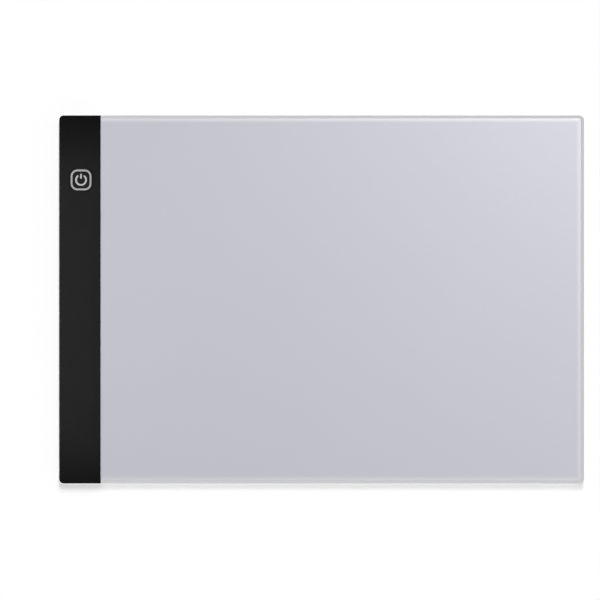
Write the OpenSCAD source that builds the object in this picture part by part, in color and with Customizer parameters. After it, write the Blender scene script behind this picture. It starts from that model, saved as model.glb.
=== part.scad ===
// Tracing light pad: an edge-lit drawing panel in a shallow tray, with a black control strip on its left.
// Millimetres. X runs along the pad with the strip at -X, Y runs away from the user, Z is up.
// The origin lies on the table, under the middle of the pad.

/* [Pad] */
// Length of the pad, control strip included
pad_length = 335; // [300:1:420]
// Width of the pad
pad_width = 235; // [200:1:320]
// Radius of the four corners seen from above
corner_radius = 3; // [2:0.1:6]
// Rounding of the outer top and bottom edges
edge_rounding = 0.5; // [0.2:0.1:0.7]
// Smallest radius inside the moulded pockets
inner_radius = 0.5; // [0.3:0.1:1]

/* [Back cover] */
// Thickness of the floor
floor_thickness = 0.8; // [0.7:0.1:1.5]
// Thickness of the rim round the drawing panel
rim_thickness = 1.8; // [1:0.1:2.5]
// Depth of the rim's top below the drawing surface
rim_drop = 0.1; // [0.05:0.05:0.3]
// Width of the ledge that carries the panel's edge
ledge_width = 2; // [1.5:0.1:5]
// Thickness of the wall that locates the control cover
locating_wall = 0.8; // [0.6:0.1:1.2]
// Height of that wall above the floor
locating_height = 1.6; // [1.4:0.1:2.4]
// Thickness of the ribs that hold up the control cover
support_thickness = 1; // [0.8:0.1:2]
// Distance between those ribs
support_pitch = 22; // [12:1:40]
// Diameter of the pegs that locate the control board
peg_diameter = 1.8; // [1.4:0.1:2.4]
// Height of the pegs above the control board
peg_rise = 0.5; // [0.2:0.1:1]

/* [Feet] */
// Diameter of a foot
foot_diameter = 10; // [6:0.5:14]
// Thickness of a foot
foot_thickness = 0.8; // [0.6:0.1:2]
// Depth of the recess that a foot sits in
foot_recess = 0.3; // [0.2:0.05:0.4]
// Rounding of a foot's lower edge
foot_rounding = 0.25; // [0.1:0.05:0.4]
// Distance from the pad's edges to a foot's centre
foot_inset = 20; // [12:1:40]

/* [Light stack] */
// Thickness of the drawing panel
panel_thickness = 1.2; // [0.8:0.1:1.6]
// Width of the bevel along the panel's three free edges
panel_bevel_width = 2.3; // [0.5:0.1:4]
// Depth of that bevel
panel_bevel_depth = 0.35; // [0.1:0.05:0.6]
// Thickness of the tape that holds the panel
tape_thickness = 0.2; // [0.1:0.05:0.4]
// Thickness of the diffuser film
diffuser_thickness = 0.25; // [0.15:0.05:0.5]
// Thickness of the reflector film
reflector_thickness = 0.25; // [0.1:0.05:0.4]
// Thickness of the reflecting tape on the light guide's edges
edge_tape_thickness = 0.1; // [0.05:0.05:0.2]
// Length of the light guide that runs under the control cover
guide_overlap = 1.5; // [1.2:0.1:2.5]
// Number of grooves under the light guide that turn the light upward
groove_count = 40; // [10:1:80]
// Width of a groove
groove_width = 0.4; // [0.2:0.05:0.8]
// Depth of a groove
groove_depth = 0.2; // [0.1:0.05:0.5]
// Thickness of the strip that shades the lamps
shield_thickness = 0.1; // [0.05:0.05:0.2]

/* [Control cover] */
// Width of the control strip
strip_width = 26.5; // [25:0.5:40]
// Thickness of the cover's top
cover_thickness = 0.9; // [0.7:0.1:1.5]
// Thickness of the cover's side walls
skirt_thickness = 1.2; // [1:0.1:1.6]
// Thickness of the lip that bears on the light guide
lip_thickness = 1; // [0.6:0.1:1.4]
// Length of a snap catch
catch_length = 8; // [4:1:12]
// Height of a snap catch
catch_height = 0.6; // [0.4:0.05:0.8]
// Reach of a snap catch out of the locating wall
catch_reach = 0.35; // [0.25:0.05:0.5]
// Distance between the catches along the strip
catch_pitch = 60; // [30:5:80]
// Distance from the strip's far end to the first catch
catch_inset = 30; // [28:1:36]

/* [Power key] */
// Side of the square key
key_size = 15.2; // [13:0.1:15.8]
// Radius of the key's corners
key_radius = 5; // [3:0.1:6]
// Distance from the panel's side of the strip to the key's centre
key_from_panel = 12.5; // [12:0.1:13]
// Distance from the pad's far edge to the key's centre
key_from_end = 41.25; // [38:0.25:60]
// Height of the key above the cover
key_proud = 0.2; // [0.1:0.05:0.4]
// Travel of the key
key_travel = 0.3; // [0.2:0.05:0.4]
// Rounding of the key's top edge
key_rounding = 0.3; // [0.1:0.05:0.4]
// Width of the flange that keeps the key in
key_flange = 0.9; // [0.5:0.1:1]
// Thickness of that flange
key_flange_thickness = 0.5; // [0.4:0.05:0.6]
// Thickness of the key's top wall
key_skin = 0.8; // [0.6:0.05:1]
// Width of the wall round the hollow under the key
key_wall = 1.6; // [1:0.1:2.5]
// Diameter of the boss that pushes the switch
key_boss_diameter = 3.4; // [2:0.1:5]

/* [Tact switch] */
// Side of the square switch
switch_size = 6; // [5.6:0.1:7]
// Thickness of the floor under the dome
switch_floor = 0.35; // [0.25:0.05:0.5]
// Thickness of the metal frame on top
switch_frame_thickness = 0.2; // [0.15:0.05:0.3]
// Diameter of the plunger's stem
plunger_diameter = 2.9; // [2:0.1:3.2]
// Diameter of the plunger's flange
plunger_flange_diameter = 4; // [3.6:0.1:4.2]
// Thickness of the plunger's flange
plunger_flange_thickness = 0.25; // [0.2:0.05:0.35]
// Height of the plunger above the frame
plunger_rise = 0.6; // [0.45:0.05:0.7]
// Thickness of the snap dome
dome_thickness = 0.08; // [0.06:0.01:0.1]
// Height of the dome that is left when the key is down
dome_reserve = 0.12; // [0.11:0.01:0.2]
// Length of a switch terminal on the board
terminal_length = 0.9; // [0.6:0.1:1.4]
// Width of a switch terminal
terminal_width = 0.7; // [0.5:0.1:1]

/* [Circuit boards] */
// Thickness of both boards
board_thickness = 0.6; // [0.4:0.1:1]
// Thickness of the tape under both boards
board_tape_thickness = 0.1; // [0.05:0.05:0.2]
// Length of the control board on the near side of the key's centre
board_below_key = 21; // [20:0.5:30]
// Length of the control board on the far side of the socket's centre
board_beyond_socket = 7; // [6:0.5:8]
// Width of the lamp board
lamp_board_width = 4.3; // [4.2:0.1:5]
// Distance between the lamps
lamp_pitch = 6; // [5:0.5:12]
// Length of a lamp along the light guide's edge
lamp_length = 3.8; // [2.8:0.1:4.2]
// Depth of a lamp behind the light guide's edge
lamp_depth = 1.4; // [1:0.1:1.6]
// Height of a lamp
lamp_height = 1.2; // [1:0.1:1.6]
// Wall of a lamp's housing round its window
lamp_wall = 0.3; // [0.2:0.05:0.4]
// Depth of a lamp's window
lamp_window_depth = 0.5; // [0.2:0.1:0.9]
// Number of lamps that share one resistor
lamps_per_resistor = 3; // [2:1:6]
// Diameter of the jumper wires
wire_diameter = 0.9; // [0.6:0.1:1.1]
// Distance between the jumper wires
wire_pitch = 3.5; // [2:0.5:4]

/* [Power socket] */
// Width of the socket's shell
socket_width = 7.5; // [7.2:0.1:8]
// Height of the socket's shell
socket_height = 2.45; // [2.4:0.05:2.8]
// Depth of the socket's shell
socket_depth = 5.6; // [5:0.1:6.5]
// Wall of the shell
socket_wall = 0.3; // [0.2:0.05:0.35]
// Chamfer of the shell's two lower corners
socket_chamfer = 0.9; // [0.6:0.1:1.1]
// Distance from the key's centre to the socket's centre
socket_above_key = 22; // [20:0.5:24]
// Depth of the socket's mouth behind the pad's edge
socket_recess = 0.2; // [0:0.05:0.5]
// Free height between the socket and the cover above it
socket_headroom = 0.15; // [0.1:0.05:3]

/* [Clearances] */
// Gap between the panel and its neighbours
panel_gap = 0.1; // [0.05:0.05:0.3]
// Gap where the control cover meets the rim
seam_gap = 0.1; // [0.05:0.05:0.3]
// Gap between parts that slide together
fit_gap = 0.15; // [0.1:0.05:0.25]
// Gap round the light guide and its films
stack_gap = 0.3; // [0.25:0.05:0.6]
// Gap between the light guide and the lamps
lamp_gap = 0.2; // [0.1:0.05:0.3]
// Gap round the key
key_gap = 0.2; // [0.15:0.05:0.3]
// Gap round the boards
board_gap = 0.4; // [0.3:0.05:0.6]
// Gap round the pegs, the plunger and the feet
bore_gap = 0.12; // [0.1:0.02:0.2]
// Free play between parts that press on each other
play = 0.05; // [0.03:0.01:0.08]

/* [Hidden] */
$fn = 64;
// How far a cut runs past the face that it opens
over = 1;

// Levels, from the table upward. The socket is the tallest piece, so it sets the height of the pad.
z_body = foot_thickness - foot_recess;
z_floor = z_body + floor_thickness;
z_board = z_floor + board_tape_thickness;
z_mounted = z_board + board_thickness;
z_under = z_mounted + socket_height + socket_headroom;
z_top = z_under + cover_thickness;
z_rim = z_top - rim_drop;
z_panel = z_top - panel_thickness;
z_ledge = z_panel - tape_thickness;
z_guide = z_floor + reflector_thickness;
z_guide_top = z_panel - diffuser_thickness;
z_lip = z_guide_top + shield_thickness + play;

// Levels of the key and its switch
dome_rise = key_travel + dome_reserve;
z_dome = z_mounted + switch_floor;
z_plunger = z_dome + dome_rise + play;
z_frame = z_plunger + plunger_flange_thickness + play;
z_plunger_top = z_frame + switch_frame_thickness + plunger_rise;
z_flange_top = z_under - play;
z_flange = z_flange_top - key_flange_thickness;
z_key_top = z_top + key_proud;

// Places along X
x_left = -pad_length / 2;
x_right = pad_length / 2;
x_strip = x_left + strip_width;
x_guide = x_strip - guide_overlap;
x_stack = x_right - rim_thickness - ledge_width - stack_gap;
x_lamp = x_guide - lamp_gap;
x_lamp_board = x_lamp - lamp_board_width;
wall_inset = skirt_thickness + fit_gap;
x_wall = x_left + wall_inset + locating_wall;
x_board = x_wall + board_gap;
x_board_end = x_lamp_board - board_gap;
x_key = x_strip - key_from_panel;
x_socket = x_left + socket_recess;

// Places along Y
y_edge = pad_width / 2;
y_stack = y_edge - rim_thickness - ledge_width - stack_gap;
y_key = y_edge - key_from_end;
y_socket = y_key + socket_above_key;
y_board = y_key - board_below_key;
y_board_end = y_socket + board_beyond_socket;

// Lamps along the light guide's edge
lamp_margin = 1.5;
lamp_count = floor((2 * y_stack - lamp_length - 2 * lamp_margin) / lamp_pitch) + 1;
lamp_ys = [for (i = [0 : lamp_count - 1]) (i - (lamp_count - 1) / 2) * lamp_pitch];
lamp_board_half = lamp_ys[lamp_count - 1] + lamp_length / 2 + lamp_margin;
lamp_resistor = [0.5, 1, 0.35];
x_lamp_resistor = x_lamp - lamp_depth - lamp_resistor.x;

// Grooves across the light guide: the further from the lamps, the closer together
groove_margin = 4;
groove_crowding = 0.7;
groove_span = x_stack - x_guide - 2 * groove_margin;
groove_xs = [for (i = [1 : groove_count])
    x_guide + groove_margin + groove_span * pow(i / groove_count, groove_crowding)];

// Ribs that hold up the control cover, on both sides of the control board
support_inset = 5;
y_wall = y_edge - wall_inset - locating_wall;
near_supports = [for (y = y_board - support_inset; y > support_inset - y_wall; y = y - support_pitch) y];
support_ys = concat(near_supports, [(y_board_end + y_wall) / 2]);

// Snap catches along the strip and at its two ends
z_catch = z_floor + locating_height - catch_height - fit_gap;
catch_ys = [for (y = y_edge - catch_inset; y > catch_inset - y_edge; y = y - catch_pitch) y];
x_end_catch = x_left + strip_width / 2;

// Places on the control board
key_place = [x_key, y_key];
peg_inset = 2.4;
peg_places = [
    [x_board + peg_inset, y_board + peg_inset],
    [x_board_end - peg_inset, y_board_end - peg_inset]
];
board_tape_inset = 1;
board_tape_end = 2 * peg_inset + board_tape_inset;
chip_size = [3.9, 4.9, 1.3];
chip_lift = 0.1;
chip_place = key_place + [-3.5, -15];
chip_lead_pitch = 1.27;
chip_leads_per_side = 4;
chip_lead_out = 0.5;
chip_lead_foot = 0.55;
lead_width = 0.4;
lead_thickness = 0.2;
transistor_size = [1.3, 2.9, 1];
transistor_place = key_place + [1, -17];
transistor_lead_pitch = 0.95;
transistor_lead_out = 0.3;
transistor_lead_foot = 0.3;
capacitor_size = [2, 1.25, 1];
capacitor_places = [for (from_key = [[-5, 14], [-5, 18], [3, 14]]) key_place + from_key];
resistor_size = [0.8, 1.6, 0.5];
resistor_count = 5;
resistor_pitch = 2.5;
resistor_row = key_place + [-6, 11];
resistor_places = [for (i = [0 : resistor_count - 1]) resistor_row + [i * resistor_pitch, 0]];

// Jumper wires between the two boards
wire_below_key = 10;
wire_inset = 1.6;
wire_land = 0.9;
x_wire = x_board_end - wire_inset;
x_wire_end = x_lamp_board + wire_land;

// Inside of the power socket
tongue_width = 3.8;
tongue_thickness = 0.55;
tongue_low = 1.3;
tongue_inset = 1;
socket_block = 1.5;
socket_tab = [2.6, 0.8, 0.3];
contact_count = 5;
contact_pitch = 0.65;
contact_width = 0.35;
contact_thickness = 0.12;
contact_foot = 0.8;

// Flat shapes and solids that several pieces share

module at_corners(size, radius) {
    for (x = [-1, 1], y = [-1, 1])
        translate([x * (size.x / 2 - radius), y * (size.y / 2 - radius)]) children();
}

module rounded_rect(size, radius) {
    square([size.x - 2 * radius, size.y], center = true);
    square([size.x, size.y - 2 * radius], center = true);
    at_corners(size, radius) circle(radius);
}

// Outline of the pad, drawn in by an inset
module pad_outline(inset = 0) {
    size = [pad_length - 2 * inset, pad_width - 2 * inset];
    rounded_rect(size, max(corner_radius - inset, inner_radius));
}

// Half plane to the right of x, as a square that is wider than the pad
module right_of(x) {
    translate([x, -pad_width]) square([pad_length, 2 * pad_width]);
}

// Half of a layer's section: flat on top, with a quarter round at its outer end
module round_profile(reach, rounding) {
    square([reach - rounding, rounding]);
    intersection() {
        translate([reach - rounding, 0]) circle(rounding);
        square([reach, rounding]);
    }
}

// Layer with rounded corners whose sides curve in toward its top
module round_layer(size, radius, rounding) {
    core = [size.x - 2 * radius, size.y - 2 * radius];
    linear_extrude(rounding) square(core, center = true);
    for (turn = [0, 180]) rotate([0, 0, turn]) {
        translate([core.x / 2, 0, 0]) rotate([90, 0, 0])
            linear_extrude(core.y, center = true) round_profile(radius, rounding);
        translate([0, core.y / 2, 0]) rotate([90, 0, 90])
            linear_extrude(core.x, center = true) round_profile(radius, rounding);
    }
    for (x = [0, 1], y = [0, 1])
        mirror([x, 0, 0]) mirror([0, y, 0]) translate([core.x / 2, core.y / 2, 0])
            rotate_extrude(angle = 90) round_profile(radius, rounding);
}

// Slab with rounded corners and a rounded top edge, standing on z = 0
module rounded_slab(size, radius, height, rounding) {
    linear_extrude(height - rounding) rounded_rect(size, radius);
    translate([0, 0, height - rounding]) round_layer(size, radius, rounding);
}

// Outer shape of the whole pad up to a given level, rounded above and below
module pad_block(top) {
    size = [pad_length, pad_width];
    translate([0, 0, z_body + edge_rounding]) {
        rounded_slab(size, corner_radius, top - z_body - edge_rounding, edge_rounding);
        mirror([0, 0, 1]) round_layer(size, corner_radius, edge_rounding);
    }
}

// Box between two opposite corners
module box(low, high) {
    translate(low) cube(high - low);
}

// Block that stands on the boards' top face at a place, centred on it
module on_board(place, size, lift = 0) {
    translate([place.x - size.x / 2, place.y - size.y / 2, z_mounted + lift]) cube(size);
}

// Bent metal lead in side view: out of a body, down, and flat on the board
module bent_lead(out, rise, foot, thickness, width) {
    rotate([90, 0, 0]) linear_extrude(width, center = true)
        polygon([
            [0, rise], [out, rise], [out, thickness], [out + foot, thickness],
            [out + foot, 0], [out - thickness, 0],
            [out - thickness, rise - thickness], [0, rise - thickness]
        ]);
}

module at_catches() {
    for (y = catch_ys) translate([x_left + wall_inset, y, z_catch]) children();
    for (side = [-1, 1])
        translate([x_end_catch, side * (y_edge - wall_inset), z_catch])
            rotate([0, 0, -90 * side]) children();
}

// Housing

module back_shell() {
    difference() {
        pad_block(z_rim);
        box([x_left - over, -y_edge - over, z_floor], [x_strip + seam_gap, y_edge + over, z_top + over]);
        translate([0, 0, z_ledge]) linear_extrude(z_top - z_ledge) pad_outline(rim_thickness);
        translate([0, 0, z_floor]) linear_extrude(z_top - z_floor) pad_outline(rim_thickness + ledge_width);
        at_feet() translate([0, 0, z_body - over])
            cylinder(h = foot_recess + over, d = foot_diameter + 2 * bore_gap);
    }
}

// Low wall just inside the control cover's skirt, with a gap for the socket
module cover_wall() {
    half_gap = socket_width / 2 + board_gap;
    difference() {
        translate([0, 0, z_floor]) linear_extrude(locating_height) difference() {
            pad_outline(wall_inset);
            pad_outline(wall_inset + locating_wall);
            right_of(x_strip - seam_gap);
        }
        box([x_left, y_socket - half_gap, z_floor - over], [x_board, y_socket + half_gap, z_top]);
    }
}

// Ridge with a sloping top that snaps into the cover's skirt
module catch_ridge() {
    rotate([90, 0, 0]) linear_extrude(catch_length, center = true)
        polygon([[0, 0], [-catch_reach, 0], [-catch_reach, catch_height / 4], [0, catch_height]]);
}

module back_cover() {
    color([0.80, 0.80, 0.82]) union() {
        back_shell();
        cover_wall();
        at_catches() catch_ridge();
        for (y = support_ys)
            box([x_wall, y - support_thickness / 2, z_floor],
                [x_board_end, y + support_thickness / 2, z_under - play]);
        for (place = peg_places)
            translate([place.x, place.y, z_floor])
                cylinder(h = z_mounted + peg_rise - z_floor, d = peg_diameter);
    }
}

// Opening in the cover's side for the power socket
module socket_window() {
    size = [socket_width + 2 * fit_gap, socket_height + 2 * fit_gap];
    translate([x_left - over, y_socket, z_mounted + socket_height / 2])
        rotate([90, 0, 90]) linear_extrude(skirt_thickness + 2 * over) rounded_rect(size, inner_radius);
}

// Groove in the cover's skirt that takes a catch
module catch_groove() {
    length = catch_length + 2 * fit_gap;
    translate([-catch_reach - fit_gap, -length / 2, -fit_gap])
        cube([catch_reach + fit_gap, length, catch_height + 2 * fit_gap]);
}

module control_cover() {
    opening = key_size + 2 * key_gap;
    color([0.13, 0.13, 0.13]) difference() {
        union() {
            difference() {
                pad_block(z_top);
                box([x_strip, -y_edge - over, -over], [x_right + over, y_edge + over, z_top + over]);
                box([x_left - over, -y_edge - over, -over], [x_right, y_edge + over, z_floor]);
                translate([0, 0, z_floor - over]) linear_extrude(z_under - z_floor + over)
                    pad_outline(skirt_thickness);
            }
            box([x_strip - lip_thickness, -y_edge + skirt_thickness, z_lip],
                [x_strip, y_edge - skirt_thickness, z_under]);
        }
        translate([x_key, y_key, z_under - over]) linear_extrude(cover_thickness + 2 * over)
            rounded_rect([opening, opening], key_radius + key_gap);
        socket_window();
        at_catches() catch_groove();
    }
}

// Feet

module at_foot(side, end) {
    translate([side * (pad_length / 2 - foot_inset), end * (y_edge - foot_inset), 0]) children();
}

module at_feet() {
    for (side = [-1, 1], end = [-1, 1]) at_foot(side, end) children();
}

// Rubber disc with a rounded lower edge
module foot() {
    radius = foot_diameter / 2;
    color([0.75, 0.75, 0.75]) rotate_extrude() {
        square([radius - foot_rounding, foot_thickness]);
        translate([0, foot_rounding]) square([radius, foot_thickness - foot_rounding]);
        translate([radius - foot_rounding, foot_rounding]) circle(foot_rounding);
    }
}

module foot_front_left() { at_foot(-1, -1) foot(); }
module foot_front_right() { at_foot(1, -1) foot(); }
module foot_rear_left() { at_foot(-1, 1) foot(); }
module foot_rear_right() { at_foot(1, 1) foot(); }

// Light stack

// Acrylic sheet with a shallow bevel on its three free edges, mitred at the corners
module top_panel() {
    inset = rim_thickness + panel_gap;
    x_edge = x_right - inset;
    y_side = y_edge - inset;
    shoulder = panel_thickness - panel_bevel_depth;
    color([0.78, 0.78, 0.82]) translate([0, 0, z_panel]) intersection() {
        linear_extrude(panel_thickness) intersection() {
            pad_outline(inset);
            right_of(x_strip + panel_gap);
        }
        rotate([90, 0, 90]) linear_extrude(pad_length, center = true)
            polygon([
                [-y_side, 0], [y_side, 0], [y_side, shoulder],
                [y_side - panel_bevel_width, panel_thickness],
                [panel_bevel_width - y_side, panel_thickness], [-y_side, shoulder]
            ]);
        rotate([90, 0, 0]) linear_extrude(pad_width, center = true)
            polygon([
                [x_strip, 0], [x_edge, 0], [x_edge, shoulder],
                [x_edge - panel_bevel_width, panel_thickness], [x_strip, panel_thickness]
            ]);
    }
}

// Adhesive frame on the ledge, open toward the control strip
module panel_tape() {
    color([0.92, 0.92, 0.88]) translate([0, 0, z_ledge]) linear_extrude(tape_thickness) intersection() {
        difference() {
            pad_outline(rim_thickness + panel_gap);
            pad_outline(rim_thickness + ledge_width);
        }
        right_of(x_strip + stack_gap);
    }
}

module diffuser_film() {
    color([0.95, 0.95, 0.95])
        box([x_strip + panel_gap, -y_stack, z_guide_top], [x_stack, y_stack, z_panel]);
}

// Clear acrylic sheet, lit from its strip-side edge, with V grooves across its underside
module light_guide() {
    groove = [[-groove_width / 2, 0], [0, groove_depth], [groove_width / 2, 0]];
    height = z_guide_top - z_guide;
    lamp_end = [[x_guide, height], [x_guide, 0]];
    underside = [for (x = groove_xs, point = groove) [x + point.x, point.y]];
    far_end = [[x_stack, 0], [x_stack, height]];
    color([0.85, 0.93, 0.95]) translate([0, 0, z_guide]) rotate([90, 0, 0])
        linear_extrude(2 * y_stack, center = true)
            polygon(concat(lamp_end, underside, far_end));
}

module reflector_film() {
    color([0.97, 0.97, 0.97]) box([x_guide, -y_stack, z_floor], [x_stack, y_stack, z_guide]);
}

// White tape on the light guide's three far edges
module edge_reflectors() {
    color([0.94, 0.94, 0.94]) {
        box([x_stack, -y_stack, z_guide], [x_stack + edge_tape_thickness, y_stack, z_guide_top]);
        for (side = [-1, 1])
            mirror([0, (1 - side) / 2, 0])
                box([x_strip, y_stack, z_guide], [x_stack, y_stack + edge_tape_thickness, z_guide_top]);
    }
}

// Opaque strip over the lamps, carried by the light guide's edge
module light_shield() {
    x_shade = x_lamp - lamp_depth - play;
    color([0.90, 0.90, 0.90])
        box([x_shade, -y_stack, z_guide_top], [x_strip, y_stack, z_guide_top + shield_thickness]);
}

// Lamps

module led_board() {
    color([0.93, 0.94, 0.92])
        box([x_lamp_board, -lamp_board_half, z_board], [x_lamp, lamp_board_half, z_mounted]);
}

module led_board_tape() {
    color([0.85, 0.83, 0.75])
        box([x_lamp_board, lamp_margin - lamp_board_half, z_floor],
            [x_lamp, lamp_board_half - lamp_margin, z_board]);
}

// Window that opens in a lamp's face toward the light guide
module lamp_window() {
    box([x_lamp - lamp_window_depth, lamp_wall - lamp_length / 2, z_mounted + lamp_wall],
        [x_lamp, lamp_length / 2 - lamp_wall, z_mounted + lamp_height - lamp_wall]);
}

module led_housings() {
    color([0.96, 0.96, 0.94]) for (y = lamp_ys) translate([0, y, 0]) difference() {
        on_board([x_lamp - lamp_depth / 2, 0], [lamp_depth, lamp_length, lamp_height]);
        lamp_window();
    }
}

module led_phosphors() {
    color([0.95, 0.85, 0.35]) for (y = lamp_ys) translate([0, y, 0]) lamp_window();
}

module led_resistors() {
    color([0.10, 0.10, 0.10])
        for (i = [1 : lamps_per_resistor : lamp_count - 1])
            on_board([x_lamp_resistor, lamp_ys[i]], lamp_resistor);
}

// Half loop of insulated wire that stands on both boards
module jumper_wire(y) {
    translate([(x_wire + x_wire_end) / 2, y, z_mounted]) rotate([90, 0, 0]) rotate_extrude(angle = 180)
        translate([(x_wire_end - x_wire) / 2, 0]) circle(d = wire_diameter);
}

module wire_positive() { color([0.75, 0.08, 0.08]) jumper_wire(y_key - wire_below_key); }
module wire_negative() { color([0.08, 0.08, 0.08]) jumper_wire(y_key - wire_below_key - wire_pitch); }

// Control board

module control_board() {
    color([0.05, 0.35, 0.18]) difference() {
        box([x_board, y_board, z_board], [x_board_end, y_board_end, z_mounted]);
        for (place = peg_places)
            translate([place.x, place.y, z_board - over])
                cylinder(h = board_thickness + 2 * over, d = peg_diameter + 2 * bore_gap);
    }
}

module control_board_tape() {
    color([0.85, 0.83, 0.75])
        box([x_board + board_tape_inset, y_board + board_tape_end, z_floor],
            [x_board_end - board_tape_inset, y_board_end - board_tape_end, z_board]);
}

module controller_chip() {
    color([0.10, 0.10, 0.11]) on_board(chip_place, chip_size, chip_lift);
}

module controller_leads() {
    middle = (chip_leads_per_side - 1) / 2;
    color([0.75, 0.76, 0.78]) for (side = [0, 180], i = [0 : chip_leads_per_side - 1])
        translate([chip_place.x, chip_place.y, z_mounted]) rotate([0, 0, side])
            translate([chip_size.x / 2, (i - middle) * chip_lead_pitch, 0])
                bent_lead(chip_lead_out, chip_size.z / 2 + chip_lift, chip_lead_foot,
                          lead_thickness, lead_width);
}

// Small three-legged transistor that dims the lamps
module dimmer_transistor() {
    legs = [[0, -1], [0, 1], [180, 0]]; // turn about Z, and place along that side
    color([0.10, 0.10, 0.11]) {
        on_board(transistor_place, transistor_size, chip_lift);
        for (leg = legs)
            translate([transistor_place.x, transistor_place.y, z_mounted]) rotate([0, 0, leg[0]])
                translate([transistor_size.x / 2, leg[1] * transistor_lead_pitch, 0])
                    bent_lead(transistor_lead_out, transistor_size.z / 2, transistor_lead_foot,
                              lead_thickness, lead_width);
    }
}

module board_capacitors() {
    color([0.62, 0.50, 0.36]) for (place = capacitor_places) on_board(place, capacitor_size);
}

module board_resistors() {
    color([0.10, 0.10, 0.10]) for (place = resistor_places) on_board(place, resistor_size);
}

// Power socket

// Shell section with its two lower corners cut off, drawn in by an inset
module socket_section(inset = 0) {
    half = socket_width / 2 - inset;
    high = socket_height - inset;
    cut = socket_chamfer - inset * (2 - sqrt(2));
    polygon([
        [-half, high], [half, high], [half, inset + cut], [half - cut, inset],
        [cut - half, inset], [-half, inset + cut]
    ]);
}

// Runs the children's flat section along X from the socket's mouth
module along_socket(from, to) {
    translate([x_socket + from, y_socket, z_mounted])
        rotate([90, 0, 90]) linear_extrude(to - from) children();
}

module usb_shell() {
    color([0.78, 0.78, 0.80]) {
        along_socket(0, socket_depth) difference() {
            socket_section();
            socket_section(socket_wall);
        }
        for (side = [-1, 1])
            translate([x_socket + socket_depth - socket_tab.x, y_socket, z_mounted])
                mirror([0, (1 - side) / 2, 0]) translate([0, socket_width / 2 - socket_chamfer, 0])
                    cube([socket_tab.x, socket_chamfer + socket_tab.y, socket_tab.z]);
    }
}

module at_contacts() {
    middle = (contact_count - 1) / 2;
    for (i = [0 : contact_count - 1])
        translate([x_socket, y_socket + (i - middle) * contact_pitch, z_mounted]) children();
}

// Spring contact under the tongue, bent down to the board behind the socket
module contact() {
    translate([tongue_inset + contact_width, 0, 0])
        bent_lead(socket_depth + contact_width - tongue_inset, tongue_low, contact_foot,
                  contact_thickness, contact_width);
}

module usb_tongue() {
    color([0.08, 0.08, 0.08]) difference() {
        union() {
            along_socket(socket_depth - socket_block, socket_depth) socket_section(socket_wall);
            along_socket(tongue_inset, socket_depth) translate([-tongue_width / 2, tongue_low])
                square([tongue_width, tongue_thickness]);
        }
        at_contacts() contact();
    }
}

module usb_contacts() {
    color([0.85, 0.70, 0.30]) at_contacts() contact();
}

// Tact switch

module switch_base() {
    color([0.12, 0.12, 0.12]) difference() {
        on_board(key_place, [switch_size, switch_size, z_frame - z_mounted]);
        translate([x_key, y_key, z_dome])
            cylinder(h = z_frame - z_dome + over, d = plunger_flange_diameter + 4 * bore_gap);
    }
}

module switch_terminals() {
    rise = switch_floor + lead_thickness;
    color([0.78, 0.78, 0.80]) for (side = [-90, 90], x = [-1, 1])
        translate([x_key + x * (switch_size / 2 - terminal_width), y_key, z_mounted]) rotate([0, 0, side])
            translate([switch_size / 2, 0, 0])
                bent_lead(lead_thickness, rise, terminal_length, lead_thickness, terminal_width);
}

// Snap dome: a thin cap of a sphere that stands on the switch's floor
module switch_dome() {
    reach = plunger_flange_diameter / 2;
    radius = (reach * reach + dome_rise * dome_rise) / (2 * dome_rise);
    color([0.80, 0.80, 0.82]) translate([x_key, y_key, z_dome]) intersection() {
        translate([0, 0, dome_rise - radius]) difference() {
            sphere(radius);
            sphere(radius - dome_thickness);
        }
        cylinder(h = 2 * dome_rise, r = reach + bore_gap);
    }
}

module switch_plunger() {
    color([0.20, 0.20, 0.20]) translate([x_key, y_key, z_plunger]) {
        cylinder(h = plunger_flange_thickness, d = plunger_flange_diameter);
        cylinder(h = z_plunger_top - z_plunger, d = plunger_diameter);
    }
}

// Metal plate with two ears folded down over the base
module switch_frame() {
    ear = [switch_frame_thickness, switch_size / 2, switch_frame_thickness + z_frame - z_dome];
    color([0.78, 0.78, 0.80]) translate([x_key, y_key, z_frame]) difference() {
        union() {
            translate([-switch_size / 2, -switch_size / 2, 0])
                cube([switch_size, switch_size, switch_frame_thickness]);
            for (side = [-1, 1])
                mirror([(1 - side) / 2, 0, 0])
                    translate([switch_size / 2, -ear.y / 2, switch_frame_thickness - ear.z]) cube(ear);
        }
        translate([0, 0, -over])
            cylinder(h = switch_frame_thickness + 2 * over, d = plunger_diameter + 2 * bore_gap);
    }
}

// Power key: a rounded cap with a flange, hollow below except for the boss over the switch
module power_button() {
    flange = key_size + 2 * key_flange;
    hollow = key_size - 2 * key_wall;
    z_hollow = z_top + key_proud - key_skin;
    color([0.12, 0.12, 0.12]) translate([x_key, y_key, 0]) {
        difference() {
            union() {
                translate([0, 0, z_flange])
                    rounded_slab([key_size, key_size], key_radius, z_key_top - z_flange, key_rounding);
                translate([0, 0, z_flange]) linear_extrude(key_flange_thickness)
                    rounded_rect([flange, flange], key_radius + key_flange);
            }
            translate([0, 0, z_flange - over]) linear_extrude(z_hollow - z_flange + over)
                rounded_rect([hollow, hollow], max(key_radius - key_wall, inner_radius));
        }
        translate([0, 0, z_plunger_top + play])
            cylinder(h = z_hollow - z_plunger_top - play, d = key_boss_diameter);
    }
}

back_cover();
control_cover();
top_panel();
power_button();
foot_front_left();
foot_front_right();
foot_rear_left();
foot_rear_right();
panel_tape();
diffuser_film();
light_guide();
reflector_film();
edge_reflectors();
light_shield();
led_board();
led_board_tape();
led_housings();
led_phosphors();
led_resistors();
control_board();
control_board_tape();
usb_shell();
usb_tongue();
usb_contacts();
switch_base();
switch_terminals();
switch_dome();
switch_plunger();
switch_frame();
controller_chip();
controller_leads();
dimmer_transistor();
board_capacitors();
board_resistors();
wire_positive();
wire_negative();
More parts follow.
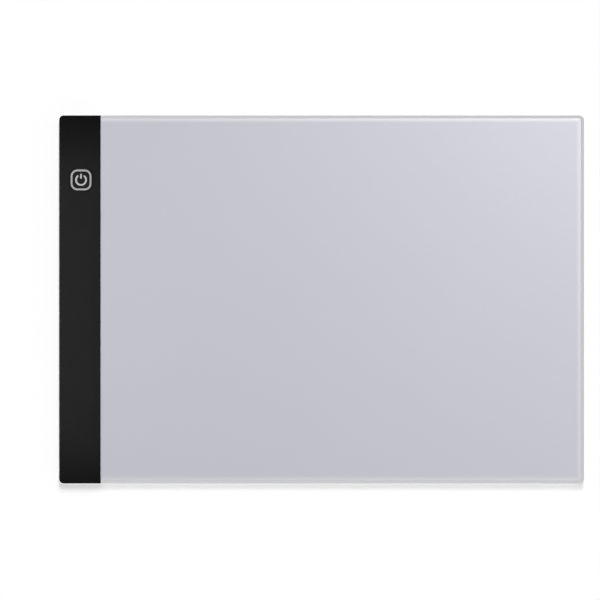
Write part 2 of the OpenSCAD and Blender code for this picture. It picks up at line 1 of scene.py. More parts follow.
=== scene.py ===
# %% [markdown]
# A tracing light pad is a shallow grey tray with a milky drawing panel in it and a black control strip
# along its left side. The CAD frame brings every solid piece at its real size and place, in metres.
# Nothing here moves those pieces. This lesson sets up the picture, builds the pieces that need a softer
# surface than the solids have, and gives each piece its finish.

# %% Load the frame
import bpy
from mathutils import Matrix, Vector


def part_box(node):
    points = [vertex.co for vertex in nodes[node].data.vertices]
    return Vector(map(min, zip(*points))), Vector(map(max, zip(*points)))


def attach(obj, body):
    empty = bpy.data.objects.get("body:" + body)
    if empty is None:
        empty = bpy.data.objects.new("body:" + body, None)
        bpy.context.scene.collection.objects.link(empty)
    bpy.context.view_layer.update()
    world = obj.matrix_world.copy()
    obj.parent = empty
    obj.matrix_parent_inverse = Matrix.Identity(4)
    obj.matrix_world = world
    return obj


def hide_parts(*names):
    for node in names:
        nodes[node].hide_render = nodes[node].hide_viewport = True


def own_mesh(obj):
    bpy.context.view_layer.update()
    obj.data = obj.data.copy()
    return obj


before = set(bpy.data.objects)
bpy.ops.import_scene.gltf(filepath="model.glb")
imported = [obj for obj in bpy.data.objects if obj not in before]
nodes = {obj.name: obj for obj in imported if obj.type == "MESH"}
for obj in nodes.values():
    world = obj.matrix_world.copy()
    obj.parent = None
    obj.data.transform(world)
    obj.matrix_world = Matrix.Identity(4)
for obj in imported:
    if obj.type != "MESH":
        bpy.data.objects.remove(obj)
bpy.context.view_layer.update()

import math

import bpy
import numpy as np
from mathutils import Vector

scene = bpy.context.scene
scene.view_settings.view_transform = "Standard"
mm = 0.001

# %% [markdown]
# The picture looks straight down on the pad. A tilted or close camera would make the outline's sides lean,
# and they hardly do. So the camera hangs far above the pad with a long lens. Four pixel values say where
# the outline lies in the picture. With the pad's real length they give the size of one pixel, the lens and
# the place of the camera.

# %% Camera
image_width = 600
outline_left, outline_right = 59.25, 583.8
outline_top, outline_bottom = 115.3, 483.5
camera_distance = 4.0

pad_low, pad_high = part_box("back_cover")
pad_middle = (pad_low + pad_high) / 2
pixel = (pad_high.x - pad_low.x) / (outline_right - outline_left)
lens = bpy.data.cameras.new("camera")
lens.lens = lens.sensor_width * camera_distance / (image_width * pixel)
camera = bpy.data.objects.new("camera", lens)
scene.collection.objects.link(camera)
camera.location = (
    pad_middle.x + (image_width - outline_left - outline_right) / 2 * pixel,
    pad_middle.y + (outline_top + outline_bottom - image_width) / 2 * pixel,
    pad_middle.z + camera_distance,
)
scene.camera = camera
print(f"camera: one pixel is {pixel / mm:.4f} mm, lens {lens.lens:.1f} mm")

# %% [markdown]
# A shader is a graph of nodes, and each sum in it is a node of its own. Written out one by one they take
# many lines for little, so three small functions make them: one for arithmetic, one that carries a value
# to another range, and one that tells the rays that look at a surface directly or in a mirror from those
# that only bring light. The sky and the table both need the last one.

# %% Shader arithmetic


def calculated(tree, operation, first, second):
    """Output of one sum, product or comparison; each term is a plain number or an output."""
    step = tree.nodes.new("ShaderNodeMath")
    step.operation = operation
    for socket, term in zip(step.inputs, (first, second)):
        if isinstance(term, bpy.types.NodeSocket):
            tree.links.new(term, socket)
        else:
            socket.default_value = term
    return step.outputs[0]


def ranged(tree, value, low, high, start=0.0, end=1.0):
    """Output that carries a value between start and end to the range from low to high."""
    spread = tree.nodes.new("ShaderNodeMapRange")
    spread.inputs["From Min"].default_value = start
    spread.inputs["From Max"].default_value = end
    spread.inputs["To Min"].default_value = low
    spread.inputs["To Max"].default_value = high
    tree.links.new(value, spread.inputs["Value"])
    return spread.outputs["Result"]


def seen_directly(tree):
    """Output that is 1 for rays from the camera, a mirror or a clear piece, and 0 for all others."""
    path = tree.nodes.new("ShaderNodeLightPath")
    mirrored, passed = path.outputs["Is Glossy Ray"], path.outputs["Is Transmission Ray"]
    indirect = calculated(tree, "MAXIMUM", mirrored, passed)
    return calculated(tree, "MAXIMUM", path.outputs["Is Camera Ray"], indirect)


print("shader helpers: arithmetic, ranges and direct views")

# %% [markdown]
# The room is white all round and has a dark ceiling, because black plastic seen from above looks black only
# where it mirrors something dark. An even sky would be simpler, but then the strip's gloss would have to be
# taken away. The sky's level is horizon + (ceiling - horizon) * z ** 2, where z is the height in the
# direction of view. That is what the camera and gloss see. As light it counts for less, because light that
# comes evenly from all round would wash out the shadow that the lamps give the pad.

# %% Sky
horizon_level = 1.0
ceiling_level = 0.04
sky_as_light = 0.3

sky = bpy.data.worlds.new("sky")
sky.use_nodes = True
scene.world = sky
sky_tree = sky.node_tree
direction = sky_tree.nodes.new("ShaderNodeTexCoord")
direction_parts = sky_tree.nodes.new("ShaderNodeSeparateXYZ")
sky_tree.links.new(direction.outputs["Generated"], direction_parts.inputs[0])
upward = calculated(sky_tree, "MAXIMUM", direction_parts.outputs["Z"], 0.0)
height_squared = calculated(sky_tree, "MULTIPLY", upward, upward)
darkening = calculated(sky_tree, "MULTIPLY", height_squared, ceiling_level - horizon_level)
sky_level = calculated(sky_tree, "ADD", darkening, horizon_level)
sky_counted = ranged(sky_tree, seen_directly(sky_tree), sky_as_light, 1.0)
background = sky_tree.nodes["Background"]
background.inputs["Color"].default_value = (1, 1, 1, 1)
sky_tree.links.new(calculated(sky_tree, "MULTIPLY", sky_level, sky_counted), background.inputs["Strength"])
print("sky: from", ceiling_level, "overhead to", horizon_level, "at the horizon")

# %% [markdown]
# The pad lies on a plain white table. A very bright lamp could burn the table out to white, but it would
# burn out the pad too. Instead the table adds a little glow for the rays that look at it directly or in a
# mirror, and the light that falls on the pad stays at a plain level. The table still gets darker where the
# pad keeps light away, so it keeps the pad's shadow. Far from the pad, where the lamps give less light, the
# glow grows, so the table stays white to its end. Seen from below it lets the view through, so the
# underside can be looked at.

# %% Table
table_white = 0.88
near_glow, far_glow = 0.26, 0.9
near_distance, far_distance = 0.4, 2.0
table_half = 6.0


def glowing_white():
    """White paint that glows a little for direct views, more so far away, and is clear from below."""
    material = bpy.data.materials.new("table_white")
    material.use_nodes = True
    tree = material.node_tree
    tree.nodes.clear()
    paint = tree.nodes.new("ShaderNodeBsdfDiffuse")
    paint.inputs["Color"].default_value = (table_white, table_white, table_white, 1)
    glow = tree.nodes.new("ShaderNodeEmission")
    place = tree.nodes.new("ShaderNodeTexCoord")
    distance = tree.nodes.new("ShaderNodeVectorMath")
    distance.operation = "LENGTH"
    tree.links.new(place.outputs["Object"], distance.inputs[0])
    glow_level = ranged(tree, distance.outputs["Value"], near_glow, far_glow, near_distance, far_distance)
    tree.links.new(calculated(tree, "MULTIPLY", glow_level, seen_directly(tree)), glow.inputs["Strength"])
    painted = tree.nodes.new("ShaderNodeAddShader")
    tree.links.new(paint.outputs[0], painted.inputs[0])
    tree.links.new(glow.outputs[0], painted.inputs[1])
    see_through = tree.nodes.new("ShaderNodeBsdfTransparent")
    side = tree.nodes.new("ShaderNodeNewGeometry")
    top_only = tree.nodes.new("ShaderNodeMixShader")
    tree.links.new(side.outputs["Backfacing"], top_only.inputs[0])
    tree.links.new(painted.outputs[0], top_only.inputs[1])
    tree.links.new(see_through.outputs[0], top_only.inputs[2])
    surface = tree.nodes.new("ShaderNodeOutputMaterial")
    tree.links.new(top_only.outputs[0], surface.inputs["Surface"])
    return material


table_corners = np.array([[-1, -1, 0], [1, -1, 0], [1, 1, 0], [-1, 1, 0]]) * table_half
table_mesh = bpy.data.meshes.new("table")
table_mesh.from_pydata(table_corners.tolist(), [], [[0, 1, 2, 3]])
table_mesh.materials.append(glowing_white())
table = bpy.data.objects.new("table", table_mesh)
scene.collection.objects.link(table)
print("stage: a white table", 2 * table_half, "m wide")

# %% [markdown]
# Three soft lamps shape the light. The main one stands high behind the pad, so the pad's short shadow
# falls along its near edge, and it is tall, so that shadow fades outward. One low in front lights the
# panel's near slope, and one past the far right corner makes the panel lighter toward that corner. These
# two only fill: they throw no shadow, and are kept out of gloss, where they would be glaring patches. Light
# linking keeps the corner lamp off the table and the tray, so the table stays evenly white and the tray's
# rim evenly grey.

# %% Lamps
table_middle = (0, 0, 0)


def soft_lamp(name, place, aim, size, watts):
    """Lamp with a width and a length, turned from its place toward the aim, that the camera doesn't see."""
    light = bpy.data.lights.new(name, "AREA")
    light.shape = "RECTANGLE"
    light.size, light.size_y = size
    light.energy = watts
    lamp = bpy.data.objects.new(name, light)
    lamp.location = place
    lamp.rotation_mode = "QUATERNION"
    lamp.rotation_quaternion = (Vector(aim) - Vector(place)).to_track_quat("-Z", "Y")
    lamp.visible_camera = False
    scene.collection.objects.link(lamp)
    return lamp


soft_lamp("rear_lamp", place=(0.15, 2.3, 2.98), aim=table_middle, size=(1.2, 1.8), watts=78.0)
front_lamp = soft_lamp("front_lamp", place=(-0.3, -3.0, 1.5), aim=table_middle, size=(1.0, 1.0), watts=70.0)
corner_lamp = soft_lamp("corner_lamp", place=(0.33, 0.33, 0.4), aim=(0.32, 0.2, 0),
                        size=(0.24, 0.24), watts=1.36)
for lamp in (front_lamp, corner_lamp):
    lamp.data.use_shadow = False
    lamp.visible_glossy = False

left_out = bpy.data.collections.new("left_out_by_the_corner_lamp")
for receiver in (table, nodes["back_cover"]):
    left_out.objects.link(receiver)
for receiver in left_out.collection_objects:
    receiver.light_linking.link_state = "EXCLUDE"
corner_lamp.light_linking.receiver_collection = left_out

# %% [markdown]
# Black plastic shows its form by what it mirrors. A photographer would hold a white card over the control
# strip, and so does this cell, with a lamp that shows in gloss alone. Its mirror image is the sheen along
# the strip, and because the card is shorter than the strip's mirrored length, the sheen fades before the
# strip's ends. A lighter plastic would be the other way, but it would be grey from every side.

# %% Card over the strip
card_width, card_length = 104 * mm, 215.5 * mm
card_from_strip = Vector((-30.45 * mm, -4.6 * mm, 223 * mm))
card_watts = 0.1156

strip_low, strip_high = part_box("control_cover")
card_place = (strip_low + strip_high) / 2 + card_from_strip
below_card = (card_place.x, card_place.y, 0)
strip_card = soft_lamp("strip_card", card_place, below_card, (card_width, card_length), card_watts)
strip_card.visible_diffuse = False
print(f"card: {card_width / mm:.0f} by {card_length / mm:.1f} mm,",
      f"{card_place.z / mm:.0f} mm over the table")

# %% [markdown]
# Every finish starts from one physically based shader. What is the same all over a piece, such as whether
# it is metal, is set on the shader itself. What varies is worked out by noise on the piece's own
# coordinates, which are metres, so a pattern keeps its real size on every piece. An image could carry it
# too, but then every piece would have to be unrolled to lie flat on that image.

# %% Noise and blends


def principled(name, **values):
    """New material with one shader, and the given constant values on the shader's sockets."""
    material = bpy.data.materials.new(name)
    material.use_nodes = True
    shader = material.node_tree.nodes["Principled BSDF"]
    for socket, value in values.items():
        shader.inputs[socket.replace("_", " ")].default_value = value
    return material


def noise(tree, size, detail=3.0, stretch=(1, 1, 1)):
    """Output of a noise with lumps of about the given size, drawn out along the axes by stretch."""
    place = tree.nodes.new("ShaderNodeTexCoord")
    drawn = tree.nodes.new("ShaderNodeMapping")
    drawn.inputs["Scale"].default_value = [1 / times for times in stretch]
    lumps = tree.nodes.new("ShaderNodeTexNoise")
    lumps.inputs["Scale"].default_value = 1 / size
    lumps.inputs["Detail"].default_value = detail
    tree.links.new(place.outputs["Object"], drawn.inputs["Vector"])
    tree.links.new(drawn.outputs["Vector"], lumps.inputs["Vector"])
    return lumps.outputs["Fac"]


def blended(tree, share, first, second):
    """Output that goes from the first colour to the second; each is a plain colour or an output."""
    mix = tree.nodes.new("ShaderNodeMix")
    mix.data_type = "RGBA"
    tree.links.new(share, mix.inputs["Factor"])
    for socket, colour in zip((mix.inputs[6], mix.inputs[7]), (first, second)):
        if isinstance(colour, bpy.types.NodeSocket):
            tree.links.new(colour, socket)
        else:
            socket.default_value = (*colour, 1)
    return mix.outputs[2]


def scaled(colour, times):
    """The colour made lighter or darker, each channel times the same number."""
    return tuple(channel * times for channel in colour)


print("finish helpers: constants, noise and blends")

# %% [markdown]
# A moulded plastic has three layers that vary: a broad faint mottle in its colour, patches of more and less
# gloss, and a fine grain pressed in by the mould. The grain is a bump in the shading, because as real
# geometry it would take millions of faces. Metals, films and inks have the same three layers with other
# sizes, so one function makes them all.

# %% Moulded finishes
gloss_spread = 0.05
patch_to_mottle_size = 1 / 3
dressed = set()


def add_grain(material, size, depth, stretch=(1, 1, 1)):
    """Raises the surface by a fine noise of the given size and depth."""
    tree = material.node_tree
    bump = tree.nodes.new("ShaderNodeBump")
    bump.inputs["Strength"].default_value = 1.0
    bump.inputs["Distance"].default_value = depth
    tree.links.new(noise(tree, size, detail=2.0, stretch=stretch), bump.inputs["Height"])
    tree.links.new(bump.outputs["Normal"], tree.nodes["Principled BSDF"].inputs["Normal"])


def moulded(name, colour, roughness, specular=0.5, metallic=0.0, mottle=0.03, mottle_size=30 * mm,
            grain_size=0.6 * mm, grain_depth=0.004 * mm, stretch=(1, 1, 1)):
    """Material with a mottled colour, an uneven gloss and a fine grain."""
    material = principled(name, Specular_IOR_Level=specular, Metallic=metallic)
    tree = material.node_tree
    shader = tree.nodes["Principled BSDF"]
    cloud = noise(tree, mottle_size, detail=4.0, stretch=stretch)
    tint = blended(tree, cloud, scaled(colour, 1 - mottle), scaled(colour, 1 + mottle))
    tree.links.new(tint, shader.inputs["Base Color"])
    patches = noise(tree, mottle_size * patch_to_mottle_size, stretch=stretch)
    gloss = ranged(tree, patches, roughness - gloss_spread, roughness + gloss_spread)
    tree.links.new(gloss, shader.inputs["Roughness"])
    add_grain(material, grain_size, grain_depth, stretch)
    return material


def dress(material, *names):
    """Gives a finish to CAD nodes by their names, and notes that they have one."""
    for name in names:
        nodes[name].data.materials.clear()
        nodes[name].data.materials.append(material)
    dressed.update(names)


print("finishes: moulded plastics from mottle, gloss and grain")

# %% [markdown]
# New pieces are skins: rings of points, one after the other, joined by four-sided faces. The rings of the
# drawing panel and of the printed square are rounded rectangles, and a stroke or a cap brings rings of its
# own. One could start from a cube and bevel it with modifiers, but then the bevel's form couldn't follow a
# formula. All points come out of numpy at once, as an array of rings by steps by coordinates.

# %% Skins from rings


def rounded_rings(low, high, radius, corner_steps=9):
    """Rounded rectangles, one for each row of low, high and radius, as rings by steps by two coordinates.

    Each corner is a quarter circle about a centre that lies one radius in from two sides:
    point = centre + radius * (cos angle, sin angle). The corners come in the order right rear, left
    rear, left front, right front, so a ring runs anticlockwise seen from above.
    """
    angle = np.radians(90 * np.arange(4)[:, None] + np.linspace(0, 90, corner_steps))
    on_right = np.array([1, 0, 0, 1])
    on_rear = np.array([1, 1, 0, 0])
    centre_x = np.where(on_right, high[:, :1] - radius, low[:, :1] + radius)
    centre_y = np.where(on_rear, high[:, 1:] - radius, low[:, 1:] + radius)
    x = centre_x[..., None] + radius[..., None] * np.cos(angle)
    y = centre_y[..., None] + radius[..., None] * np.sin(angle)
    return np.stack([x, y], axis=-1).reshape(len(low), -1, 2)


def raised(rings, heights):
    """Points of flat rings that are lifted to one height each: (x, y) becomes (x, y, height)."""
    level = np.broadcast_to(heights[:, None, None], (*rings.shape[:2], 1))
    return np.concatenate([rings, level], axis=-1)


def ring_faces(rings, steps, closed=False):
    """Faces of a skin of rings. A closed skin joins its last ring to its first, any other gets two caps."""
    ring, step = np.meshgrid(np.arange(rings if closed else rings - 1), np.arange(steps), indexing="ij")
    above = (ring + 1) % rings * steps
    beside = (step + 1) % steps
    quads = np.stack([ring * steps + step, ring * steps + beside, above + beside, above + step], axis=-1)
    faces = quads.reshape(-1, 4).tolist()
    if not closed:
        faces.append(list(range(steps))[::-1])
        faces.append(list(range((rings - 1) * steps, rings * steps)))
    return faces


print("skins: rings of points, joined by faces")

# %% [markdown]
# A skin becomes a piece of the model when it has a finish, a body that carries it and a slot in the part's
# list of materials. Smooth shading makes its few faces look round, but a real edge should stay an edge, so
# faces that turn by more than the crease angle meet in a sharp line.

# %% Adding a piece
crease_angle = math.radians(35)


def add_piece(name, points, body, material, closed=False):
    """New object at the origin, made of the rings in points, that rides on a body."""
    mesh = bpy.data.meshes.new(name)
    mesh.from_pydata(points.reshape(-1, 3).tolist(), [], ring_faces(*points.shape[:2], closed))
    mesh.polygons.foreach_set("use_smooth", np.ones(len(mesh.polygons), dtype=bool))
    mesh.set_sharp_from_angle(angle=crease_angle)
    mesh.materials.append(material)
    piece = bpy.data.objects.new(name, mesh)
    scene.collection.objects.link(piece)
    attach(piece, body)
    print(f"{name}: {len(mesh.vertices)} points, {len(mesh.polygons)} faces, rides on {body}")
    return piece


print(f"pieces: creased where they turn by over {math.degrees(crease_angle):.0f} degrees")

# %% [markdown]
# The drawing panel is a sheet of milky acrylic with a satin top. Its three free edges are polished, so they
# look a little glossier, and their colour is lighter as a painted highlight for the light the slope
# catches.
# The colour could change by the height of a point, but the slope's upper end lies as high as the top. So
# each point of the panel gets a number of its own, its polish and painted highlight, and the finish goes
# from the satin grey to the lighter grey of the painted highlight by that number.

# %% Panel finish
panel_grey = (0.528, 0.533, 0.588)
# A painted highlight: this lighter grey stands in for the light the polished slope catches.
edge_grey = (0.622, 0.622, 0.66)
panel_mottle = 0.01
satin_roughness, polished_roughness = 0.5, 0.4


def milky_acrylic():
    """Satin acrylic with a very faint mottle; glossier at the polished edge and a painted highlight there.
    """
    material = principled("milky_acrylic", Specular_IOR_Level=0.5)
    tree = material.node_tree
    shader = tree.nodes["Principled BSDF"]
    cloud = noise(tree, size=60 * mm)
    top = blended(tree, cloud, scaled(panel_grey, 1 - panel_mottle), scaled(panel_grey, 1 + panel_mottle))
    # Where the edge is polished the colour goes to a lighter grey, a painted highlight.
    edge = tree.nodes.new("ShaderNodeAttribute")
    edge.attribute_name = "polish_and_painted_highlight"
    tint = blended(tree, edge.outputs["Fac"], top, edge_grey)
    tree.links.new(tint, shader.inputs["Base Color"])
    gloss = ranged(tree, edge.outputs["Fac"], satin_roughness, polished_roughness)
    tree.links.new(gloss, shader.inputs["Roughness"])
    add_grain(material, size=0.5 * mm, depth=0.0015 * mm)
    return material


panel_finish = milky_acrylic()
dress(panel_finish, "top_panel")
print("panel finish: from", panel_grey, "to", edge_grey, "at the polished edge")

# %% [markdown]
# The solid panel has a flat bevel on its free edges. How wide and deep that is, and how round the corners
# are, could be written here again, but then two places would have to agree. The solid's own points say it:
# those on the highest level end where the slope starts, and those furthest to the right end below it.

# %% Panel sizes
same_place = 0.001 * mm

panel_low, panel_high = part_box("top_panel")
panel_points = np.empty(3 * len(nodes["top_panel"].data.vertices))
nodes["top_panel"].data.vertices.foreach_get("co", panel_points)
panel_points = panel_points.reshape(-1, 3)
at_top = panel_points[:, 2] > panel_high.z - same_place
at_side = panel_points[:, 0] > panel_high.x - same_place
slope_width = panel_high.x - panel_points[at_top, 0].max()
slope_depth = panel_high.z - panel_points[at_side, 2].max()
panel_corner = panel_high.y - panel_points[at_side, 1].max()
print(f"slope: {slope_width / mm:.2f} mm wide, {slope_depth / mm:.2f} mm deep,",
      f"corners of {panel_corner / mm:.2f} mm")

# %% [markdown]
# The real edge isn't a flat bevel. It starts level with the top and gets steeper toward the rim, the way a
# polished edge does. The height along it is shoulder + depth * (1 - (1 - run) ** steepness), where run goes
# from 0 at the rim to 1 at the top. The rings start under the panel, go round a small break of the lower
# edge, up the side, along the slope and onto the top. On the strip's side they hardly step in, so the same
# rings make a plain upright edge there. The polish, and with it the painted highlight, is full on the
# slope's lower part and fades toward the top.

# %% Drawing panel
slope_steps = 15
steepness = 1.5
under_ring = 0.3 * mm
edge_break = 0.1 * mm
below_shoulder = 0.05 * mm
onto_top = 1 * mm
square_corner = 0.05 * mm
strip_side_share = 0.04
fade_start, polish_and_highlight_at_top = 0.48, 0.35

run = np.linspace(0, 1, slope_steps)
shoulder = panel_high.z - slope_depth
inset = np.concatenate([[under_ring, edge_break, 0, 0], slope_width * run, [slope_width + onto_top]])
height = np.concatenate([
    [panel_low.z, panel_low.z, panel_low.z + edge_break, shoulder - below_shoulder],
    shoulder + slope_depth * (1 - (1 - run) ** steepness),
    [panel_high.z],
])
# The polish number also says how much of the painted highlight each ring gets.
polish_and_highlight = np.concatenate([[0, 0, 1, 1], np.interp(run, [fade_start, 1], [1, polish_and_highlight_at_top]), [0]])

panel_ring_low = np.array(panel_low)[:2] + inset[:, None] * np.array([strip_side_share, 1])
panel_ring_high = np.array(panel_high)[:2] - inset[:, None]
free_corner = np.maximum(panel_corner - inset, square_corner)
strip_corner = np.full_like(inset, square_corner)
panel_radius = np.stack([free_corner, strip_corner, strip_corner, free_corner], axis=1)
panel_rings = rounded_rings(panel_ring_low, panel_ring_high, panel_radius)
panel = add_piece("drawing_panel", raised(panel_rings, height), "pad", panel_finish)
# This point layer carries the polish and the painted highlight to the panel's finish.
painted_highlight_layer = panel.data.attributes.new("polish_and_painted_highlight", "FLOAT", "POINT")
painted_highlight_layer.data.foreach_set("value", np.repeat(polish_and_highlight, panel_rings.shape[1]).astype(np.float32))
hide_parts("top_panel")

# %% [markdown]
# The key carries a printed sign: a rounded square, and in it the usual power sign, a ring that is open at
# the top with a bar in the opening. A texture could paint it, but ink stands a little proud and has soft
# shoulders, so it is made as a skin of its own that rides on the key and moves with it. The rounded square
# is a band of rounded rings that goes up its outer side, over the top and down the inner side.

# %% Printed square
ink_height = 0.03 * mm
ink_sunk = 0.01 * mm
square_side = 12.1 * mm
square_radius = 3.7 * mm
square_line = 1.25 * mm
ink_grey = (0.38, 0.38, 0.385)

key_low, key_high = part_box("power_button")
sign_middle = (np.array(key_low)[:2] + np.array(key_high)[:2]) / 2


def ink_section(steps=9):
    """Section of a printed line: across from -1 to 1, and up by the fourth-power arch 1 - across ** 4."""
    across = np.cos(np.linspace(np.pi, 0, steps))
    up = -ink_sunk + (ink_height + ink_sunk) * (1 - across ** 4)
    return across, key_high.z + up


across, ink_level = ink_section()
inward = across[:, None] * square_line / 2
square_half = square_side / 2 - inward
square_corners = np.repeat(square_radius - inward, 4, axis=1)
square_rings = rounded_rings(sign_middle - square_half, sign_middle + square_half, square_corners)
square_ink = moulded("grey_ink", ink_grey, roughness=0.5, mottle=0.06, mottle_size=1 * mm)
add_piece("key_square_print", raised(square_rings, ink_level), "button", square_ink,
          closed=True)

# %% [markdown]
# The power sign's two strokes are ribbons: the same ink section carried along a line, with round ends. Near
# an end the half width shrinks as sqrt(r ** 2 - (r - s) ** 2), where s is the way from the end and r half
# the stroke's width. The line's points, its sideways directions and the widths are arrays, and one sum of
# them gives all the points of the ribbon.

# %% Power sign
sign_radius = 3.2 * mm
sign_line = 1.2 * mm
opening_half_angle = 31
bar_from, bar_to = 0.75 * mm, 4.0 * mm
ring_steps, bar_steps = 97, 41
blunt_end_share = 0.05
sign_grey = (0.475, 0.475, 0.48)


def ribbon(line, sideways, length):
    """Points of a stroke with round ends: line + sideways * half width * across, at the ink's level.

    Sideways points to the right of the line's direction, so that the faces look outward.
    """
    across, level = ink_section()
    half = sign_line / 2
    along = np.linspace(0, length, len(line))
    from_end = np.minimum(along, length - along)
    least = blunt_end_share * half
    width = np.sqrt(np.maximum(half ** 2 - np.maximum(half - from_end, 0) ** 2, least ** 2))
    flat = line[:, None, :] + sideways[:, None, :] * (width[:, None] * across)[..., None]
    return np.concatenate([flat, np.broadcast_to(level[None, :, None], (*flat.shape[:2], 1))], axis=-1)


sign_ink = moulded("pale_ink", sign_grey, roughness=0.5, mottle=0.06, mottle_size=1 * mm)
turn = np.radians(90 + np.linspace(opening_half_angle, 360 - opening_half_angle, ring_steps))
outward = np.stack([np.cos(turn), np.sin(turn)], axis=1)
sign_ring = ribbon(sign_middle + sign_radius * outward, outward, sign_radius * (turn[-1] - turn[0]))
add_piece("power_sign_ring", sign_ring, "button", sign_ink)

climb = np.linspace(bar_from, bar_to, bar_steps)
bar_line = sign_middle + np.stack([np.zeros_like(climb), climb], axis=1)
to_right = np.broadcast_to([1.0, 0.0], bar_line.shape)
sign_bar = ribbon(bar_line, to_right, bar_to - bar_from)
add_piece("power_sign_bar", sign_bar, "button", sign_ink)

# %% [markdown]
# The tray and the strip's cover are moulded in the same way but look quite different. The tray is pale grey
# with a fine spark-eroded grain. The cover is black and smooth, and most of what one sees of it is a soft
# mirror image of the room, so its own colour is nearly zero and its gloss does the work.

# %% Housing
dress(moulded("grey_housing", (0.68, 0.68, 0.695), roughness=0.5, grain_size=0.5 * mm,
              grain_depth=0.006 * mm),
      "back_cover")
black_satin = dict(roughness=0.25, specular=0.15, mottle=0.1, grain_size=0.4 * mm, grain_depth=0.001 * mm)
dress(moulded("black_housing", (0.0024, 0.0021, 0.0022), **black_satin), "control_cover")
dress(moulded("black_key", (0.0022, 0.0019, 0.002), **black_satin), "power_button")
feet = [name for name in nodes if name.startswith("foot_")]
dress(moulded("foot_rubber", (0.3, 0.3, 0.3), roughness=0.75, specular=0.3, mottle=0.08,
              grain_depth=0.008 * mm),
      *feet)
print("housing: tray, cover, key and", len(feet), "feet")

# %% [markdown]
# Behind the mouth in the strip's side sits the power socket: a bright steel shell, a black tongue and five
# gilt contacts. The switch under the key has the same steel and the same black insulator. Rolled steel is
# drawn out along the sheet's length, so its noise is stretched that way.

# %% Socket and switch
rolled = dict(metallic=1.0, mottle=0.06, mottle_size=2 * mm, grain_size=0.2 * mm, grain_depth=0.001 * mm)
along_sheet = (8, 1, 1)
bright_steel = moulded("bright_steel", (0.6, 0.6, 0.62), roughness=0.28, stretch=along_sheet, **rolled)
dress(bright_steel, "usb_shell", "switch_frame", "switch_dome")
dress(moulded("gold_contact", (0.8, 0.58, 0.2), roughness=0.25, stretch=along_sheet, **rolled),
      "usb_contacts")
dress(moulded("tinned_lead", (0.65, 0.66, 0.68), roughness=0.4, **rolled),
      "switch_terminals", "controller_leads")
dress(moulded("black_insulator", (0.02, 0.02, 0.02), roughness=0.45, mottle_size=3 * mm),
      "usb_tongue", "switch_base", "switch_plunger")
print("socket and switch: steel, gilt, tin and black insulator")

# %% [markdown]
# Under the key's plunger stands the snap dome, a thin cap of spring steel that gives way under the finger
# and springs back. The solid can't bend, so the plunger would cut through it when the key is down. A shape
# key could flatten it, but nothing would tie that to the key's joint. So the dome is turned again as a
# surface of revolution, with a mesh of its own. The cap's two faces are parts of spheres about one centre,
# and the outer radius is (reach ** 2 + rise ** 2) / (2 * rise).

# %% Snap dome
dome_sheet = 0.08 * mm
dome_steps, turn_steps = 14, 64
pole_share = 0.01

dome_low, dome_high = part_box("switch_dome")
dome_middle = (dome_low + dome_high) / 2
dome_reach = (dome_high.x - dome_low.x) / 2
dome_rise = dome_high.z - dome_low.z


def dome_section():
    """Half section of the cap, from its inner pole out to the rim and back over the outside to its top.

    It gives the way from the axis and the height above the rim: radius * sin(angle) and
    radius * cos(angle) - depth, where depth is how far the centre lies under the rim.
    """
    outer = (dome_reach ** 2 + dome_rise ** 2) / (2 * dome_rise)
    inner = outer - dome_sheet
    depth = outer - dome_rise
    part = np.linspace(pole_share, 1, dome_steps)
    angle = np.concatenate([part * np.arccos(depth / inner), part[::-1] * np.arccos(depth / outer)])
    radius = np.repeat([inner, outer], dome_steps)
    return radius * np.sin(angle), radius * np.cos(angle) - depth


from_axis, above_rim = dome_section()
around = np.linspace(0, 2 * np.pi, turn_steps, endpoint=False)
circle = np.stack([np.cos(around), np.sin(around)], axis=1)
dome_rings = np.array(dome_middle)[:2] + from_axis[:, None, None] * circle
dome_points = raised(dome_rings, dome_low.z + above_rim)
dome = add_piece("snap_dome", dome_points, "pad", bright_steel)
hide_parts("switch_dome")
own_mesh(dome)

# %% [markdown]
# Under the panel lies the light stack: white films, the clear light guide, the row of lamps on its board.
# None of it shows while the pad is closed, but a part that is taken apart should look right too. The guide
# is clear acrylic, so light passes through it and bends by the acrylic's own refraction. A pale grey would
# be quicker to render, but it would hide the grooves on the guide's underside.

# %% Light stack
guide_clearness = 0.9
acrylic_refraction = 1.49

dress(moulded("white_film", (0.88, 0.88, 0.88), roughness=0.6, mottle=0.01, grain_size=0.3 * mm,
              grain_depth=0.002 * mm),
      "diffuser_film", "reflector_film", "edge_reflectors", "light_shield")
dress(moulded("adhesive_tape", (0.78, 0.76, 0.68), roughness=0.7, mottle=0.06, mottle_size=4 * mm),
      "panel_tape", "led_board_tape", "control_board_tape")
guide_finish = moulded("clear_guide", (0.9, 0.96, 0.97), roughness=0.08, mottle=0.005)
guide_shader = guide_finish.node_tree.nodes["Principled BSDF"]
guide_shader.inputs["Transmission Weight"].default_value = guide_clearness
guide_shader.inputs["IOR"].default_value = acrylic_refraction
dress(guide_finish, "light_guide")
dress(moulded("white_board", (0.82, 0.83, 0.81), roughness=0.45, mottle=0.02, mottle_size=3 * mm),
      "led_board")
dress(moulded("lamp_housing", (0.88, 0.88, 0.85), roughness=0.5, mottle_size=1 * mm), "led_housings")
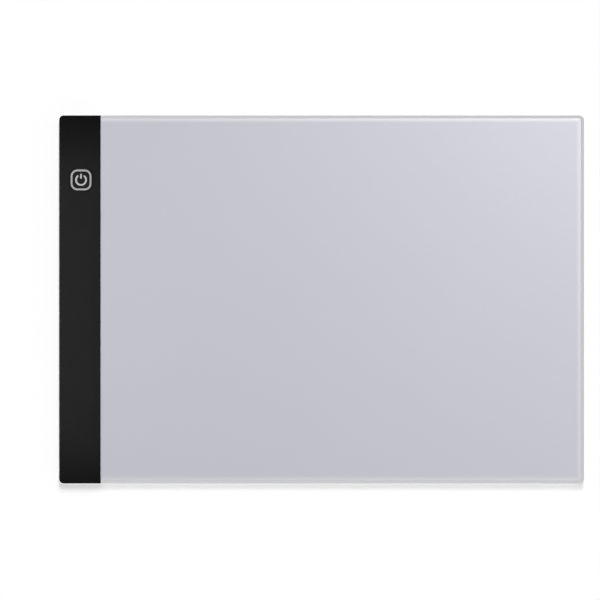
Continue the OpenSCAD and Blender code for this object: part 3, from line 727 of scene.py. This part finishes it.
dress(moulded("lamp_phosphor", (0.9, 0.68, 0.12), roughness=0.35, mottle=0.1, mottle_size=0.8 * mm),
      "led_phosphors")
print("light stack: films, guide, tapes and lamps")

# %% [markdown]
# The control board is green solder mask over copper tracks. The tracks show as lighter lines, which a wave
# pattern gives: only the crests of the wave count as copper. They could be thin solids, but under the mask
# they hardly stand up. At a scale of 1 Blender's wave runs through 20 radians in a metre, so a pitch is
# reached by the scale 2 * pi / (20 * pitch). The parts on the board are plain packages.

# %% Control board
mask_green = (0.008, 0.11, 0.04)
track_green = (0.03, 0.2, 0.08)
track_pitch = 1.6 * mm
track_wobble = 1.5
crest_level = 0.8
wave_radians = 20


def solder_mask():
    """Green board: lighter where the crests of a wave stand for copper tracks under the mask."""
    material = moulded("solder_mask", mask_green, roughness=0.35, mottle_size=4 * mm)
    tree = material.node_tree
    place = tree.nodes.new("ShaderNodeTexCoord")
    tracks = tree.nodes.new("ShaderNodeTexWave")
    tracks.inputs["Scale"].default_value = 2 * math.pi / (wave_radians * track_pitch)
    tracks.inputs["Distortion"].default_value = track_wobble
    tree.links.new(place.outputs["Object"], tracks.inputs["Vector"])
    crest = calculated(tree, "GREATER_THAN", tracks.outputs["Fac"], crest_level)
    shader = tree.nodes["Principled BSDF"]
    plain = shader.inputs["Base Color"].links[0].from_socket
    tree.links.new(blended(tree, crest, plain, track_green), shader.inputs["Base Color"])
    return material


dress(solder_mask(), "control_board")
dress(moulded("black_package", (0.02, 0.02, 0.022), roughness=0.6, mottle=0.1, mottle_size=1 * mm),
      "controller_chip", "dimmer_transistor", "board_resistors", "led_resistors")
dress(moulded("capacitor_ceramic", (0.33, 0.23, 0.13), roughness=0.55, mottle=0.08, mottle_size=1 * mm),
      "board_capacitors")
dress(moulded("red_wire", (0.5, 0.02, 0.02), roughness=0.35, mottle_size=2 * mm), "wire_positive")
dress(moulded("black_wire", (0.015, 0.015, 0.015), roughness=0.35, mottle_size=2 * mm), "wire_negative")
print("control board: dressed; nodes still without a finish:", sorted(set(nodes) - dressed))
